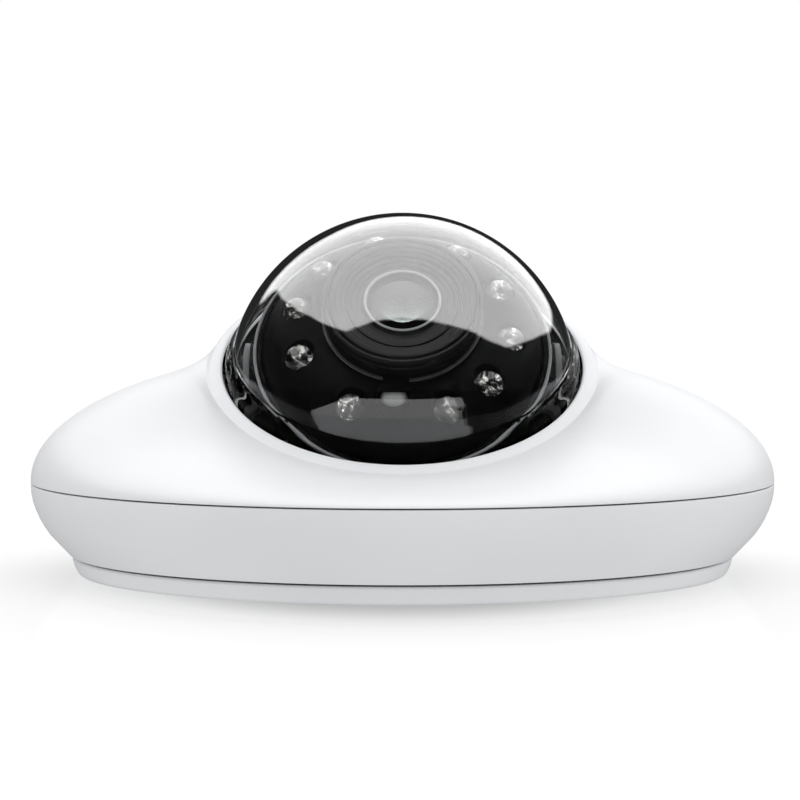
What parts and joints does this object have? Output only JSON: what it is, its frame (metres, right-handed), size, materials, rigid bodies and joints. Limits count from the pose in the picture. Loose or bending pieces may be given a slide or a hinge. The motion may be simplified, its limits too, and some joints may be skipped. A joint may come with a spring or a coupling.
{
  "type": "dome security camera",
  "caption": "Round two-part white housing with a tilted clear dome over a pan-and-tilt camera module with a ringed lens, infrared lamps and a light sensor.",
  "frame": {"origin": "centre of the mounting face, on the wall side", "axes": "+Z away from the mounting face, -Y to the front, where the dome leans, +X to the right seen from the front"},
  "size_m": [0.1492, 0.1492, 0.0721],
  "materials": {
    "shell": "smooth satin-gloss white moulding",
    "alloy": "cast, lightly blasted",
    "steel": "plain bright steel",
    "module": "black satin plastic",
    "trim": "grey satin plastic",
    "seal": "soft black rubber",
    "board": "circuit board with green mask",
    "chip": "black moulded package",
    "dome": "clear polycarbonate, polished",
    "lens": "coated optical glass",
    "lamp": "clear moulded epoxy"
  },
  "bodies": {
    "plate": {"mounting_plate": "alloy"},
    "housing": {"lower_housing": "shell", "top_cover": "shell", "cover_seal": "seal", "dome_bubble": "dome", "dome_seal": "seal", "dome_clamp_ring": "steel", "inner_shroud": "module", "gimbal_seat": "module", "main_board": "board", "ethernet_jack": "steel", "jack_gasket": "seal", "processor": "chip", "heatsink": "alloy", "capacitor": "chip", "reset_switch": "chip", "clamp_screw_1": "steel", "clamp_screw_2": "steel", "clamp_screw_3": "steel", "clamp_screw_4": "steel", "housing_screw_1": "steel", "housing_screw_2": "steel", "housing_screw_3": "steel", "housing_screw_4": "steel", "board_screw_1": "steel", "board_screw_2": "steel", "board_screw_3": "steel", "board_screw_4": "steel"},
    "pan": {"pan_ring": "module", "ear_left": "trim", "ear_right": "trim", "lock_screw_left": "steel", "lock_screw_right": "steel"},
    "tilt": {"module_housing": "module", "module_face": "module", "module_rim": "trim", "lens_barrel": "module", "ir_led_board": "board", "sensor_board": "board", "image_sensor": "chip", "light_sensor": "lamp", "tilt_pin_left": "steel", "tilt_pin_right": "steel", "led_01": "lamp", "led_02": "lamp", "led_03": "lamp", "led_04": "lamp", "led_05": "lamp", "led_06": "lamp", "led_07": "lamp", "led_08": "lamp", "led_09": "lamp", "led_10": "lamp"},
    "focus": {"focus_ring": "module"},
    "lens": {"lens_cell": "module", "front_lens": "lens", "rear_lens": "lens"},
    "filter": {"ir_cut_filter": "lens"},
    "reset": {"reset_button": "seal"}
  },
  "joints": [
    {"name": "housing_twist", "type": "hinge", "parent": "plate", "child": "housing", "pos_m": [0, 0, 0], "axis": [0, 0, 1], "range_deg": [-24, 0]},
    {"name": "pan_turn", "type": "hinge", "parent": "housing", "child": "pan", "pos_m": [0, 0.0026, 0.0368], "axis": [0, -0.5, 0.866], "range_deg": [-175, 175]},
    {"name": "module_tilt", "type": "hinge", "parent": "pan", "child": "tilt", "pos_m": [0, 0.0026, 0.0368], "axis": [1, 0, 0], "range_deg": [-49, 8]},
    {"name": "focus_turn", "type": "hinge", "parent": "tilt", "child": "focus", "pos_m": [0, 0.0026, 0.0368], "axis": [0, -0.7771, 0.6293], "range_deg": [-160, 0]},
    {"name": "lens_travel", "type": "slide", "parent": "tilt", "child": "lens", "axis": [0, -0.7771, 0.6293], "range_m": [-0.0008, 0]},
    {"name": "filter_shift", "type": "slide", "parent": "tilt", "child": "filter", "axis": [1, 0, 0], "range_m": [0, 0.009]},
    {"name": "reset_press", "type": "slide", "parent": "housing", "child": "reset", "axis": [0, 0, 1], "range_m": [0, 0.0003], "stiffness_N_per_m": 900}
  ],
  "couplings": [
    {"joint": "focus_turn", "follows": "lens_travel", "rad_per_m": 3490.7}
  ]
}
